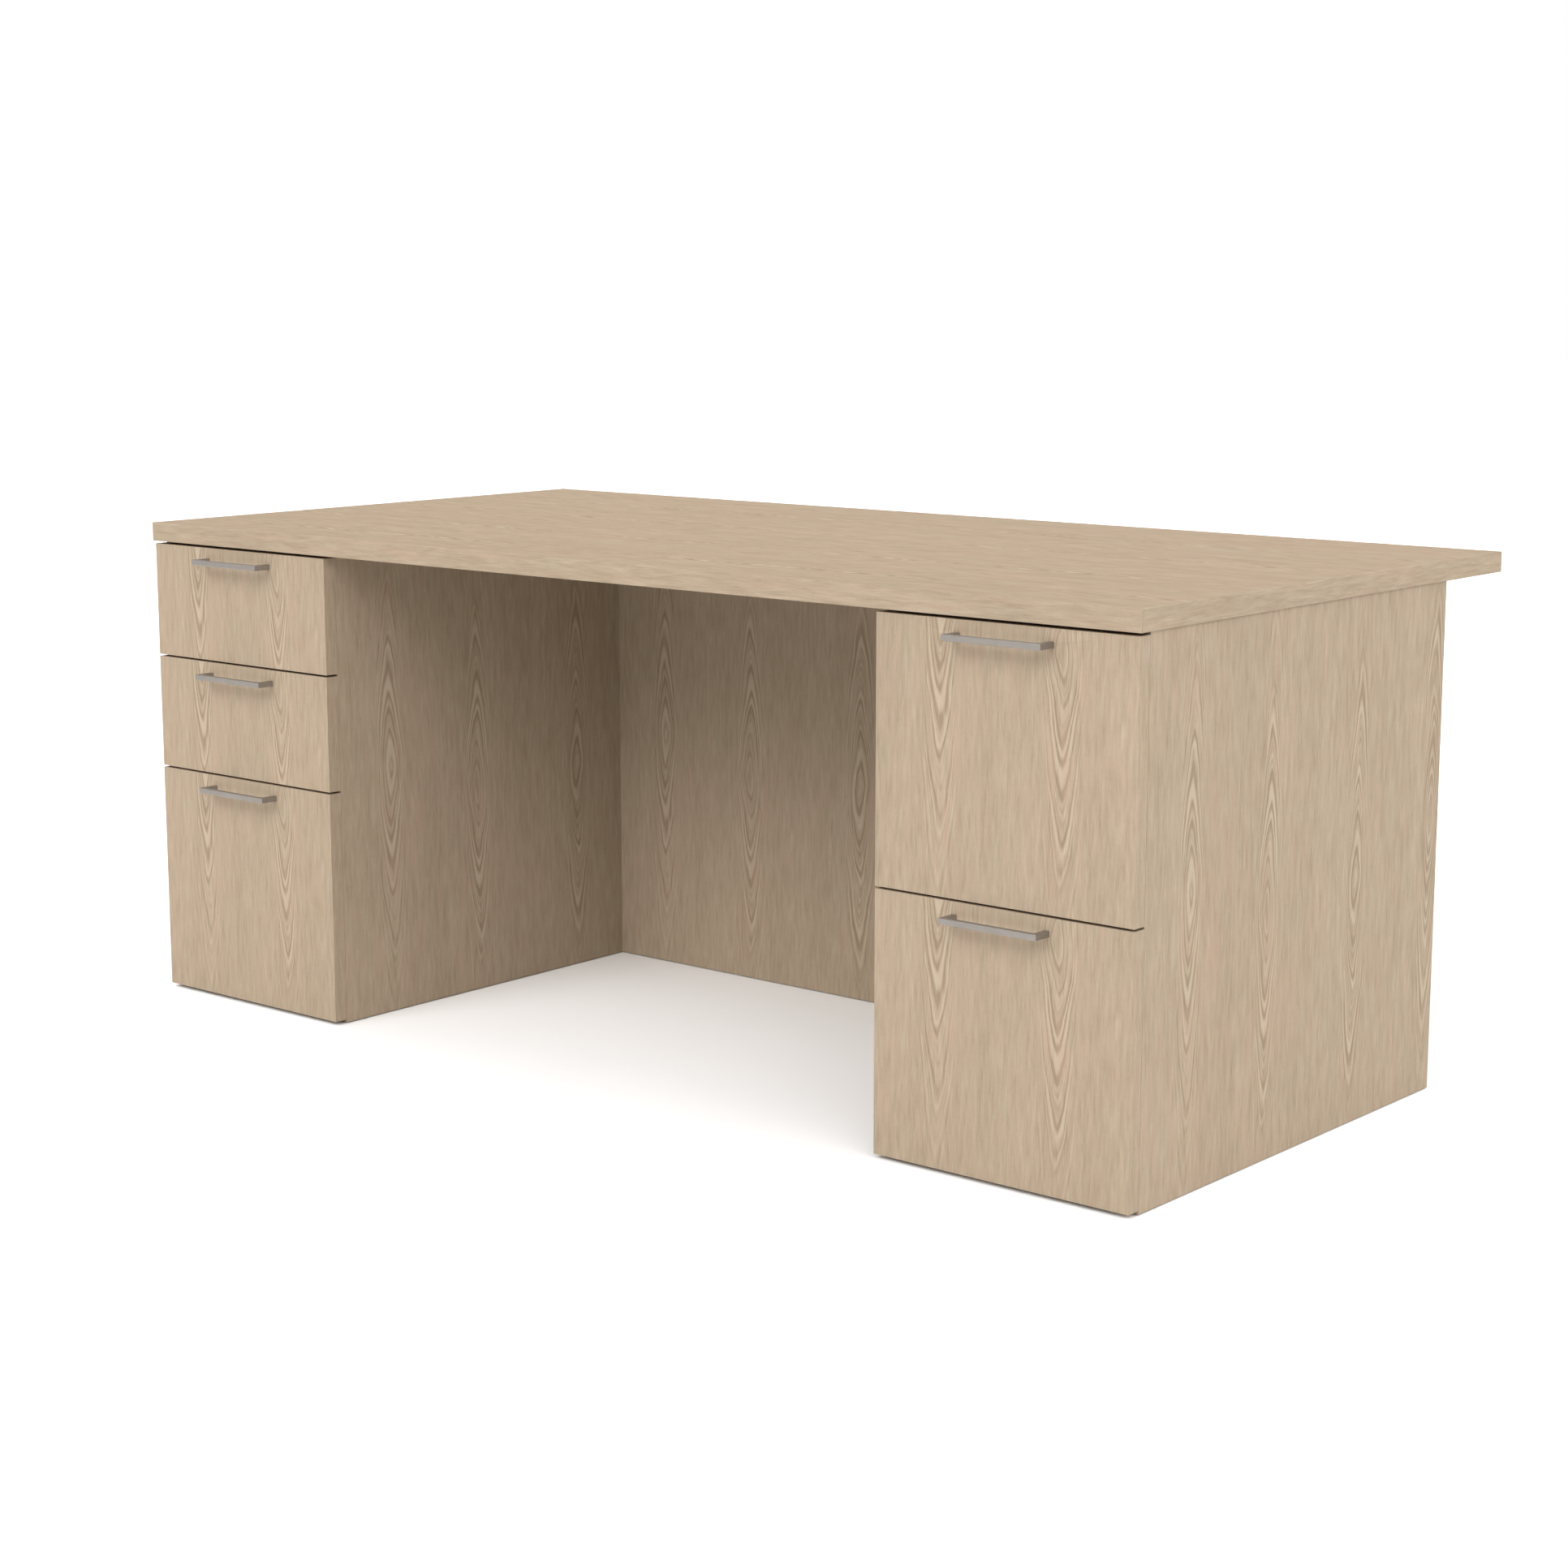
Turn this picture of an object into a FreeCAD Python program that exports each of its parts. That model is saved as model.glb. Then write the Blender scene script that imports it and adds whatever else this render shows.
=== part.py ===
import FreeCAD, Part
import os
import re

import Sketcher

# Double-pedestal office desk: a laminate top on two drawer pedestals, joined by a modesty panel.
# The left pedestal holds two low drawers over a file drawer, the right one two file drawers.
# Millimetres. +X is right as seen from the drawer side, +Y points to the visitor's side, +Z is up.
# The origin is on the floor, under the middle of the desk's box with its pulls.

SIZES = {
    # Top
    "top_width": 1828.8,
    "top_depth": 914.4,
    "top_thickness": 28.6,
    "edge_band": 3.0,
    "edge_radius": 1.0,
    "side_overhang": 3.2,
    "front_overhang": 3.2,
    # Pedestal cases
    "glide_reveal": 1.6,
    "case_height": 712.8,
    "case_depth": 733.4,
    "pedestal_width": 392.0,
    "panel_thickness": 19.0,
    "bottom_rise": 12.0,
    "modesty_inset": 101.6,
    "rail_width": 80.0,
    "rail_setback": 14.0,
    # Drawer faces
    "face_thickness": 21.7,
    "face_standoff": 0.4,
    "face_bottom_gap": 4.7,
    "face_top_gap": 4.1,
    "face_gap": 3.2,
    # Pulls
    "pull_length": 148.0,
    "pull_section": 8.0,
    "pull_projection": 29.5,
    "pull_drop": 20.0,
    "pull_edge_radius": 0.8,
    # Drawer boxes
    "box_wall": 12.7,
    "box_floor_clearance": 3.7,
    "box_headroom": 42.0,
    "file_headroom": 55.0,
    "box_back_clearance": 30.0,
    "box_bottom": 6.0,
    "bottom_lift": 10.0,
    "rabbet_depth": 6.0,
    "groove_depth": 6.0,
    "groove_play": 0.2,
    # Hanging file rails
    "file_rail_gauge": 1.2,
    "file_rail_leg": 12.0,
    "file_rail_rib": 8.0,
    "file_rail_play": 0.2,
    # Drawer slides
    "slide_space": 12.7,
    "slide_height": 45.7,
    "slide_gauge": 1.2,
    "slide_flange": 9.0,
    "slide_play": 0.4,
    "slide_head_room": 0.6,
    "slide_rise": 58.0,
    "slide_setback": 3.0,
    "slide_rear_gap": 60.0,
    "slide_hole_inset": 60.0,
    # Screws
    "screw_diameter": 4.0,
    "screw_head_diameter": 8.0,
    "screw_head_height": 2.0,
    "screw_play": 0.15,
    "slide_screw_length": 12.0,
    "face_screw_length": 25.0,
    "face_screw_inset": 30.0,
    "pull_screw_grip": 8.0,
    "top_screw_length": 33.0,
    "top_screw_spread": 200.0,
    # Dowels
    "dowel_diameter": 8.0,
    "dowel_face_depth": 11.0,
    "dowel_edge_depth": 19.0,
    "dowel_inset": 80.0,
    "dowel_play": 0.15,
    # Floor glides
    "glide_diameter": 17.0,
    "glide_shank": 4.0,
    "glide_shank_length": 14.0,
    "glide_inset": 40.0,
}

# Heights above the floor
CASE_TOP = "(glide_reveal + case_height)"
BOTTOM_LOW = "(glide_reveal + bottom_rise)"
FACE_LOW = "(glide_reveal + face_bottom_gap)"
FILE_FACE = "((case_height - face_bottom_gap - face_top_gap - face_gap) / 2)"
LOW_FACE = f"(({FILE_FACE} - face_gap) / 2)"
BOX_RISE = "(bottom_rise + panel_thickness + box_floor_clearance - face_bottom_gap)"

# Places from front to back
TOP_FRONT = "((pull_projection - front_overhang - top_depth) / 2)"
FACE_FRONT = f"({TOP_FRONT} + front_overhang)"
FACE_BACK = f"({FACE_FRONT} + face_thickness)"
CASE_FRONT = f"({FACE_BACK} + face_standoff)"
CASE_BACK = f"({CASE_FRONT} + case_depth)"
INSIDE_BACK = f"({CASE_BACK} - panel_thickness)"
INSIDE_DEPTH = "(case_depth - panel_thickness)"
MODESTY_FRONT = f"({INSIDE_BACK} - modesty_inset)"
FRONT_RAIL = f"({CASE_FRONT} + rail_setback)"
REAR_RAIL = f"({INSIDE_BACK} - rail_width)"
BOX_DEPTH = f"(face_standoff + {INSIDE_DEPTH} - box_back_clearance)"
SLIDE_LENGTH = f"({INSIDE_DEPTH} - slide_setback - slide_rear_gap)"
SLIDE_MIDDLE = f"({CASE_FRONT} + slide_setback + {SLIDE_LENGTH} / 2)"
SLIDE_HOLE = f"({SLIDE_LENGTH} / 2 - slide_hole_inset)"

# Places from left to right
PEDESTAL_X = {
    "left": "(side_overhang - (top_width - pedestal_width) / 2)",
    "right": "((top_width - pedestal_width) / 2 - side_overhang)",
}
INNER_WIDTH = "(pedestal_width - 2 * panel_thickness)"
KNEE_WIDTH = "(top_width - 2 * side_overhang - 2 * pedestal_width)"
BOX_WIDTH = f"({INNER_WIDTH} - 2 * slide_space)"
BOX_INSIDE = f"({BOX_WIDTH} - 2 * box_wall)"

# Slide members, measured from the case wall
RUNNER_WEB = "(slide_gauge + screw_head_height + slide_head_room)"
RUNNER_HALF = "(slide_height / 2 - slide_gauge - slide_play)"
MEMBER_HALF = f"({RUNNER_HALF} - slide_gauge - slide_play)"

DOWEL_LENGTH = "(dowel_face_depth + dowel_edge_depth)"
SCREW_BORE = "(screw_diameter + 2 * screw_play)"
PULL_POST = "((pull_length - pull_section) / 2)"

# A drawer's name, its pedestal, the bottom and height of its face, and whether it holds hanging files
UPPER_LOW = f"({FACE_LOW} + {FILE_FACE} + face_gap)"
DRAWERS = [
    ("left_upper", "left", f"({UPPER_LOW} + {LOW_FACE} + face_gap)", LOW_FACE, False),
    ("left_middle", "left", UPPER_LOW, LOW_FACE, False),
    ("left_lower", "left", FACE_LOW, FILE_FACE, True),
    ("right_upper", "right", UPPER_LOW, FILE_FACE, True),
    ("right_lower", "right", FACE_LOW, FILE_FACE, True),
]

# The two walls of a pedestal: the sign of its side, and the turn of a slide that is fixed to it
TURN_BACK = FreeCAD.Rotation(FreeCAD.Vector(0, 0, 1), 180)
WALLS = [(-1, FreeCAD.Rotation()), (1, TURN_BACK)]

# Turns of a bar that starts along +Z, and of a screw that starts with its shank along -Z
ALONG = {
    "x": FreeCAD.Rotation(FreeCAD.Vector(0, 1, 0), 90),
    "y": FreeCAD.Rotation(FreeCAD.Vector(1, 0, 0), -90),
    "z": FreeCAD.Rotation(),
}
POINTING = {
    "+x": FreeCAD.Rotation(FreeCAD.Vector(0, 1, 0), -90),
    "-x": FreeCAD.Rotation(FreeCAD.Vector(0, 1, 0), 90),
    "-y": FreeCAD.Rotation(FreeCAD.Vector(1, 0, 0), -90),
    "+z": FreeCAD.Rotation(FreeCAD.Vector(1, 0, 0), 180),
}

doc = FreeCAD.newDocument("PedestalDesk")
sheet = doc.addObject("Spreadsheet::Sheet", "Sizes")
for row, (alias, size) in enumerate(SIZES.items(), 1):
    sheet.set(f"A{row}", alias)
    sheet.set(f"B{row}", str(size))
    sheet.setAlias(f"B{row}", alias)
doc.recompute()

nodes = {}


def bound(expression):
    """The expression with every size in it read from its cell."""
    return re.sub(r"[a-z][a-z_]+", lambda word: "Sizes." + word.group(), expression)


def value(expression):
    """The number that an expression gives now."""
    return float(sheet.evalExpression(bound(expression)))


def bind(thing, **sizes):
    """Ties properties of an object to expressions."""
    for name, expression in sizes.items():
        thing.setExpression(name, bound(expression))


def place(thing, x, y, z):
    """Ties the place of an object to expressions."""
    for axis, expression in zip("xyz", (x, y, z)):
        thing.setExpression("Placement.Base." + axis, bound(expression))


def node(label, thing):
    """Makes an object a sub-part of the desk."""
    thing.Label = label
    nodes[label] = thing
    return thing


def board(name, middle_x, width, front_y, depth, low_z, height):
    """A plain board, even about middle_x, from front_y back and from low_z up."""
    box = doc.addObject("Part::Box", name)
    bind(box, Length=width, Width=depth, Height=height)
    place(box, f"{middle_x} - {width} / 2", front_y, low_z)
    return box


def rod(name, axis, diameter, length, x, y, z):
    """A round bar that runs along an axis from its starting point."""
    bar = doc.addObject("Part::Cylinder", name)
    bar.Placement = FreeCAD.Placement(FreeCAD.Vector(), ALONG[axis])
    bind(bar, Radius=f"{diameter} / 2", Height=length)
    place(bar, x, y, z)
    return bar


def group(name, pieces):
    """Several separate solids as one object."""
    compound = doc.addObject("Part::Compound", name)
    compound.Links = pieces
    return compound


def cut(name, base, tools):
    """A piece with bores, grooves and rabbets taken out of it."""
    result = doc.addObject("Part::Cut", name)
    result.Base = base
    result.Tool = group(name + "_tools", tools)
    return result


def plane(body, role):
    """One of a body's own origin planes."""
    for feature in body.Origin.OriginFeatures:
        if feature.Role == role:
            return feature


def sketch_on(body, role, name):
    """An empty sketch on one of a body's origin planes."""
    sketch = body.newObject("Sketcher::SketchObject", name)
    sketch.AttachmentSupport = [(plane(body, role), "")]
    sketch.MapMode = "FlatFace"
    return sketch


def hold(sketch, geometry, point, across, up):
    """Holds a point of a sketch at bound distances from the sketch's origin."""
    for kind, expression in (("DistanceX", across), ("DistanceY", up)):
        held = Sketcher.Constraint(kind, -1, 1, geometry, point, value(expression))
        number = sketch.addConstraint(held)
        sketch.setExpression(f"Constraints[{number}]", bound(expression))


def outline(sketch, points):
    """A closed outline of straight lines through points given as expressions."""
    corners = [FreeCAD.Vector(value(across), value(up), 0) for across, up in points]
    count = len(corners)
    for number in range(count):
        line = Part.LineSegment(corners[number], corners[(number + 1) % count])
        sketch.addGeometry(line, False)
    for number in range(count):
        sketch.addConstraint(Sketcher.Constraint("Coincident", number, 2, (number + 1) % count, 1))
    for number, (across, up) in enumerate(points):
        hold(sketch, number, 1, across, up)


def circles(sketch, diameter, centres):
    """Circles of one bound diameter about centres given as expressions."""
    for across, up in centres:
        middle = FreeCAD.Vector(value(across), value(up), 0)
        circle = Part.Circle(middle, FreeCAD.Vector(0, 0, 1), value(f"{diameter} / 2"))
        number = sketch.addGeometry(circle, False)
        hold(sketch, number, 3, across, up)
        size = sketch.addConstraint(Sketcher.Constraint("Diameter", number, value(diameter)))
        sketch.setExpression(f"Constraints[{size}]", bound(diameter))


def extruded(name, role, points, length):
    """A body of one constant section, even about its sketch plane."""
    body = doc.addObject("PartDesign::Body", name)
    sketch = sketch_on(body, role, name + "_section")
    outline(sketch, points)
    pad = body.newObject("PartDesign::Pad", name + "_pad")
    pad.Profile = sketch
    pad.SideType = "Symmetric"
    bind(pad, Length=length)
    doc.recompute()
    return body


def turned(name, points):
    """A round body, turned about Z from the right half of its section."""
    body = doc.addObject("PartDesign::Body", name)
    sketch = sketch_on(body, "XZ_Plane", name + "_section")
    outline(sketch, points)
    turn = body.newObject("PartDesign::Revolution", name + "_turn")
    turn.Profile = sketch
    turn.ReferenceAxis = (sketch, ["V_Axis"])
    turn.Angle = 360
    doc.recompute()
    return body


def bored(body, role, diameter, centres, depth, both_ways):
    """Cuts round holes into a body from one of its origin planes."""
    before = body.Shape.Volume
    sketch = sketch_on(body, role, body.Name + "_holes")
    circles(sketch, diameter, centres)
    pocket = body.newObject("PartDesign::Pocket", body.Name + "_pocket")
    pocket.Profile = sketch
    pocket.SideType = "Symmetric" if both_ways else "One side"
    pocket.Reversed = not both_ways
    bind(pocket, Length=depth)
    doc.recompute()
    if body.Shape.Volume >= before:
        raise RuntimeError(body.Name + " has no holes")


def copies(master, spots):
    """Copies of a finished body, each turned and moved to its spot."""
    shapes = []
    for x, y, z, turn in spots:
        shape = master.Shape.copy()
        shape.Placement = FreeCAD.Placement(FreeCAD.Vector(value(x), value(y), value(z)), turn)
        shapes.append(shape)
    return shapes


def copied_node(label, shapes):
    """A sub-part made of copied solids."""
    feature = doc.addObject("Part::Feature", label)
    feature.Shape = Part.makeCompound(shapes) if len(shapes) > 1 else shapes[0]
    node(label, feature)


def screw(name, length):
    """A pan-head screw: the head sits on z = 0 and the shank points down."""
    return turned(name, [
        ("0", f"-{length}"),
        ("screw_diameter / 2", f"-{length}"),
        ("screw_diameter / 2", "0"),
        ("screw_head_diameter / 2", "0"),
        ("screw_head_diameter / 2", "screw_head_height"),
        ("0", "screw_head_height"),
    ])


def channel(name, web, lip, half):
    """A slide channel along Y: its web stands at web, and its flanges reach to lip."""
    step = "slide_gauge" if value(lip) > value(web) else "-slide_gauge"
    return extruded(name, "XZ_Plane", [
        (web, f"-{half}"),
        (lip, f"-{half}"),
        (lip, f"slide_gauge - {half}"),
        (f"{web} + {step}", f"slide_gauge - {half}"),
        (f"{web} + {step}", f"{half} - slide_gauge"),
        (lip, f"{half} - slide_gauge"),
        (lip, half),
        (web, half),
    ], SLIDE_LENGTH)


# Masters of the pieces that repeat
slide_screw = screw("slide_screw", "slide_screw_length")
face_screw = screw("face_screw", "face_screw_length")
pull_screw = screw("pull_screw", "(face_thickness + pull_screw_grip)")
top_screw = screw("top_screw", "top_screw_length")

glide = turned("glide", [
    ("0", "0"),
    ("(glide_diameter - glide_reveal) / 2", "0"),
    ("glide_diameter / 2", "glide_reveal"),
    ("glide_shank / 2", "glide_reveal"),
    ("glide_shank / 2", "glide_reveal + glide_shank_length"),
    ("0", "glide_reveal + glide_shank_length"),
])

case_channel = channel("case_channel", "0", "slide_flange", "slide_height / 2")
runner = channel("runner", RUNNER_WEB, "(slide_space - slide_gauge - slide_play)", RUNNER_HALF)
member_lip = f"({RUNNER_WEB} + slide_gauge + slide_play)"
drawer_member = channel("drawer_member", "slide_space", member_lip, MEMBER_HALF)
slide_holes = [(SLIDE_HOLE, "0"), (f"-{SLIDE_HOLE}", "0")]
for screwed in (case_channel, drawer_member):
    bored(screwed, "YZ_Plane", SCREW_BORE, slide_holes, "2 * slide_space + slide_gauge", True)

pull = extruded("pull", "XY_Plane", [
    ("-pull_length / 2", "0"),
    ("-pull_length / 2", "-pull_projection"),
    ("pull_length / 2", "-pull_projection"),
    ("pull_length / 2", "0"),
    ("pull_length / 2 - pull_section", "0"),
    ("pull_length / 2 - pull_section", "pull_section - pull_projection"),
    ("pull_section - pull_length / 2", "pull_section - pull_projection"),
    ("pull_section - pull_length / 2", "0"),
], "pull_section")
bare_pull = pull.Tip
off_the_face = [
    f"Edge{number}"
    for number, edge in enumerate(pull.Shape.Edges, 1)
    if min(corner.Y for corner in edge.Vertexes) < value("-pull_section / 2")
]
rounding = pull.newObject("PartDesign::Fillet", "pull_rounding")
rounding.Base = (bare_pull, off_the_face)
bind(rounding, Radius="pull_edge_radius")
pull.Tip = rounding
doc.recompute()
bored(pull, "XZ_Plane", SCREW_BORE, [(PULL_POST, "0"), (f"-{PULL_POST}", "0")],
      "pull_screw_grip + screw_play", False)

RAIL_IN = "(box_wall / 2 + file_rail_play)"
RAIL_OUT = f"({RAIL_IN} + file_rail_gauge)"
file_rail = extruded("file_rail", "XZ_Plane", [
    (f"-{RAIL_OUT}", "-file_rail_leg"),
    (f"-{RAIL_OUT}", "file_rail_gauge"),
    (f"{RAIL_OUT} - file_rail_gauge", "file_rail_gauge"),
    (f"{RAIL_OUT} - file_rail_gauge", "file_rail_rib"),
    (RAIL_OUT, "file_rail_rib"),
    (RAIL_OUT, "-file_rail_leg"),
    (RAIL_IN, "-file_rail_leg"),
    (RAIL_IN, "0"),
    (f"-{RAIL_IN}", "0"),
    (f"-{RAIL_IN}", "-file_rail_leg"),
], f"{BOX_DEPTH} - 2 * box_wall - 2 * file_rail_play")

# Fasteners and slide members collect here while the boards are drilled for them
dowels = []
case_screws = []
channels = []


def dowel_joint(name, joint_x, panel_sign, spots):
    """Dowels along X across a joint, deeper in the board than in the panel; gives their bores."""
    start = f"{joint_x} - " + ("dowel_face_depth" if panel_sign < 0 else "dowel_edge_depth")
    bores = []
    for number, (y, z) in enumerate(spots):
        pin = f"{name}_dowel_{number}"
        dowels.append(rod(pin, "x", "dowel_diameter", DOWEL_LENGTH, start, y, z))
        bores.append(rod(pin + "_bore", "x", "(dowel_diameter + 2 * dowel_play)",
                         f"{DOWEL_LENGTH} + 2 * dowel_play", f"{start} - dowel_play", y, z))
    return bores


def wall_face(side, sign):
    """The inner face of one wall of a pedestal."""
    return f"({PEDESTAL_X[side]} + {sign} * {INNER_WIDTH} / 2)"


def slide_height_of(face_low):
    """The height of a drawer's slides."""
    return f"({face_low} + {BOX_RISE} + slide_rise)"


def slide_spots(face_low):
    """The two screw places of a drawer's slide: front to back, and height."""
    z = slide_height_of(face_low)
    return [(f"{SLIDE_MIDDLE} - {SLIDE_HOLE}", z), (f"{SLIDE_MIDDLE} + {SLIDE_HOLE}", z)]


def wall_bores(side, sign):
    """Fixes each drawer's case channel to a pedestal wall; gives the bores of its screws."""
    face = wall_face(side, sign)
    turn = dict(WALLS)[sign]
    bores = []
    for name, drawer_side, face_low, _, _ in DRAWERS:
        if drawer_side != side:
            continue
        channels.extend(copies(case_channel, [(face, SLIDE_MIDDLE, slide_height_of(face_low), turn)]))
        seat = f"{face} - {sign} * slide_gauge"
        for y, z in slide_spots(face_low):
            case_screws.extend(copies(slide_screw, [(seat, y, z, POINTING["-x" if sign < 0 else "+x"])]))
            start = f"{face} - slide_screw_length" if sign < 0 else face
            bores.append(rod(f"{name}_wall_bore", "x", SCREW_BORE, "slide_screw_length", start, y, z))
    return bores


def glide_spots(panel_x):
    """The two glides under a side panel."""
    return [(panel_x, f"{CASE_FRONT} + glide_inset"), (panel_x, f"{CASE_BACK} - glide_inset")]


def pedestal(side):
    """The boards of one pedestal; gives its rails, its glides and its knee-side joint to the modesty."""
    middle = PEDESTAL_X[side]
    back_heights = [
        "glide_reveal + dowel_inset",
        "glide_reveal + case_height / 2",
        f"{CASE_TOP} - dowel_inset",
    ]
    half_board = "panel_thickness / 2"
    bottom_spots = [
        (f"{CASE_FRONT} + dowel_inset", f"{BOTTOM_LOW} + {half_board}"),
        (f"{INSIDE_BACK} - dowel_inset", f"{BOTTOM_LOW} + {half_board}"),
    ]
    rail_spots = [
        (f"{rail} + {share} * rail_width / 4", f"{CASE_TOP} - {half_board}")
        for rail in (FRONT_RAIL, REAR_RAIL) for share in (1, 3)
    ]
    back_spots = [(f"{CASE_BACK} - {half_board}", z) for z in back_heights]
    modesty_spots = [(f"{MODESTY_FRONT} + {half_board}", z) for z in back_heights]

    rails_bores = []
    bottom_bores = []
    back_bores = []
    knee_bores = []
    spots = []
    for sign, _ in WALLS:
        outer = (side == "left") == (sign < 0)
        name = f"{side}_end" if outer else f"{side}_inner"
        joint = wall_face(side, sign)
        panel_x = f"({joint} + {sign} * panel_thickness / 2)"
        to_bottom = dowel_joint(f"{name}_bottom", joint, sign, bottom_spots)
        to_rails = dowel_joint(f"{name}_rail", joint, sign, rail_spots)
        to_back = dowel_joint(f"{name}_back", joint, sign, back_spots)
        bottom_bores += to_bottom
        rails_bores += to_rails
        back_bores += to_back
        tools = to_bottom + to_rails + to_back + wall_bores(side, sign)
        if not outer:
            knee_face = f"({joint} + {sign} * panel_thickness)"
            knee_bores = dowel_joint(f"{name}_modesty", knee_face, -sign, modesty_spots)
            tools += knee_bores
        for x, y in glide_spots(panel_x):
            spots.append((x, y, "0", FreeCAD.Rotation()))
            tools.append(rod(f"{name}_glide_bore", "z", "(glide_shank + 2 * screw_play)",
                             "glide_shank_length + screw_play", x, y, "glide_reveal"))
        panel = board(f"{name}_board", panel_x, "panel_thickness", CASE_FRONT, "case_depth",
                      "glide_reveal", "case_height")
        node(f"{name}_panel", cut(f"{name}_drilled", panel, tools))

    bottom = board(f"{side}_bottom_board", middle, INNER_WIDTH, CASE_FRONT, INSIDE_DEPTH,
                   BOTTOM_LOW, "panel_thickness")
    node(f"{side}_bottom_panel", cut(f"{side}_bottom_drilled", bottom, bottom_bores))
    back = board(f"{side}_back_board", middle, INNER_WIDTH, INSIDE_BACK, "panel_thickness",
                 "glide_reveal", "case_height")
    node(f"{side}_back_panel", cut(f"{side}_back_drilled", back, back_bores))

    rails = []
    top_bores = []
    for name, rail_y in (("front", FRONT_RAIL), ("rear", REAR_RAIL)):
        for sign, _ in WALLS:
            x = f"{middle} + {sign} * top_screw_spread / 2"
            y = f"{rail_y} + rail_width / 2"
            seat = f"{CASE_TOP} - panel_thickness"
            case_screws.extend(copies(top_screw, [(x, y, seat, POINTING["+z"])]))
            top_bores.append(rod(f"{side}_{name}_top_bore", "z", SCREW_BORE,
                                 "top_screw_length + screw_play", x, y, seat))
        rails.append(board(f"{side}_{name}_rail_board", middle, INNER_WIDTH, rail_y, "rail_width",
                           f"{CASE_TOP} - panel_thickness", "panel_thickness"))
    drilled = [cut(rail.Name + "_drilled", rail, rails_bores + top_bores) for rail in rails]
    return drilled, top_bores, spots, knee_bores


def rounded(strip, chosen):
    """An edge strip with the edges that chosen picks by length and middle point rounded."""
    doc.recompute()
    fillet = doc.addObject("Part::Fillet", strip.Name + "_rounded")
    fillet.Base = strip
    radius = value("edge_radius")
    fillet.Edges = [
        (number, radius, radius)
        for number, edge in enumerate(strip.Shape.Edges, 1)
        if chosen(edge.Length, edge.CenterOfMass)
    ]
    return fillet


def top_board(top_bores):
    """The top's core and the four strips of its edge band, butted at the corners."""
    core_width = "(top_width - 2 * edge_band)"
    core_depth = "(top_depth - 2 * edge_band)"
    core_front = f"({TOP_FRONT} + edge_band)"
    core_back = f"({core_front} + {core_depth})"
    core = board("top_core", "0", core_width, core_front, core_depth, CASE_TOP, "top_thickness")
    node("desk_top", cut("top_drilled", core, top_bores))

    near = value("edge_band / 4")
    strips = []
    for name, low_y, outer in (
        ("front", TOP_FRONT, TOP_FRONT),
        ("rear", core_back, f"{core_back} + edge_band"),
    ):
        strip = board(f"{name}_band", "0", "top_width", low_y, "edge_band", CASE_TOP, "top_thickness")
        strips.append(rounded(strip, lambda _, middle, at=value(outer): abs(middle.y - at) < near))
    for name, sign in (("left", -1), ("right", 1)):
        strip = board(f"{name}_band", f"({sign} * (top_width - edge_band) / 2)", "edge_band",
                      core_front, core_depth, CASE_TOP, "top_thickness")
        outer = value(f"{sign} * top_width / 2")
        strips.append(rounded(strip, lambda length, middle, at=outer: (
            abs(middle.x - at) < near and length > value("top_thickness"))))
    node("top_edge_band", group("band_strips", strips))


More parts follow.
